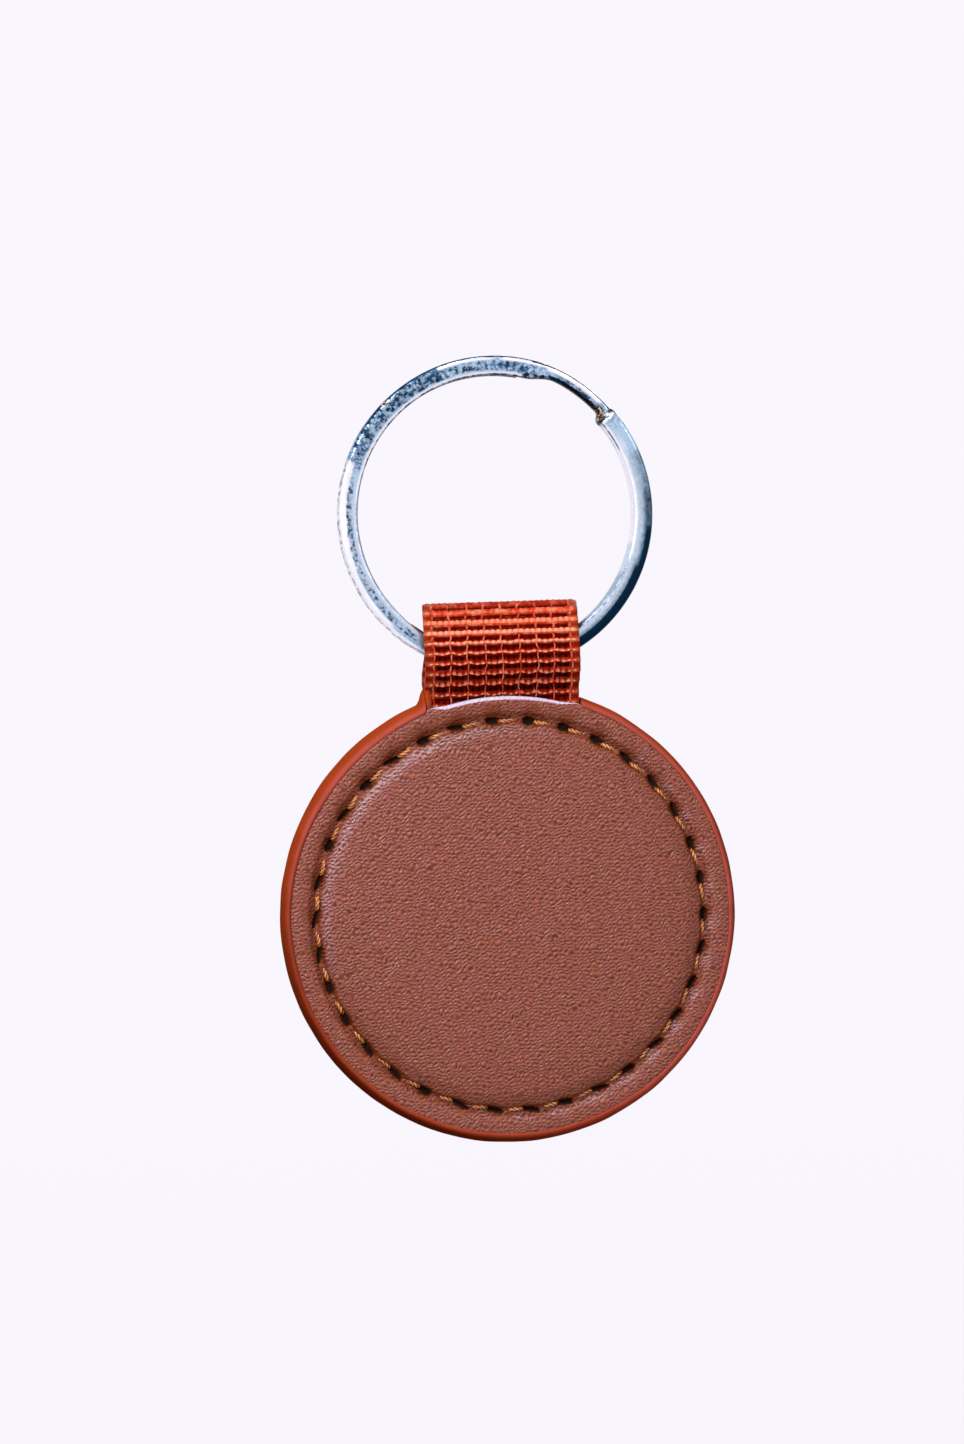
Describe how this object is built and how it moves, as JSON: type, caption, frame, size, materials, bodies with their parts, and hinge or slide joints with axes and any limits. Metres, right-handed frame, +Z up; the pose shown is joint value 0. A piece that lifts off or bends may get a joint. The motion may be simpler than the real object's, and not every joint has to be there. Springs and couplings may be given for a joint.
{
  "type": "loop keychain",
  "caption": "Round padded leather fob, stitched and edge painted, hung by a folded webbing loop from a flat-wire split ring.",
  "frame": {"origin": "the inside top of the split ring, midway between its turns, where a hook or a finger holds it", "axes": "+Z up, from the fob to the ring; +X to the right as the padded front is seen; the front faces -Y and the flat back faces +Y"},
  "size_m": [0.0434, 0.0074, 0.0748],
  "materials": {
    "nickel_steel": "bright nickel plate, finely speckled",
    "webbing": "rust-orange ribbed nylon webbing",
    "leather": "brown coated leather, fine wavy grain, satin",
    "foam": "thin pale foam, hidden",
    "board": "bonded fibre board, hidden",
    "thread": "twisted golden-brown thread",
    "edge_paint": "orange-brown edge paint, satin"
  },
  "bodies": {
    "ring": {"split_ring": "nickel_steel"},
    "strap": {"webbing_loop": "webbing"},
    "fob": {"webbing_tail_front": "webbing", "webbing_tail_rear": "webbing", "front_panel": "leather", "back_panel": "leather", "foam_pad": "foam", "core_board": "board", "needle_thread": "thread", "bobbin_thread": "thread", "edge_paint": "edge_paint"}
  },
  "joints": [
    {"name": "loop_swing", "type": "hinge", "parent": "ring", "child": "strap", "pos_m": [0, 0, -0.02584], "axis": [1, 0, 0], "range_deg": [-125, 125]},
    {"name": "strap_flex", "type": "hinge", "parent": "strap", "child": "fob", "pos_m": [0, 0, -0.02942], "axis": [1, 0, 0], "range_deg": [-25, 25], "stiffness_Nm_per_rad": 0.004}
  ]
}
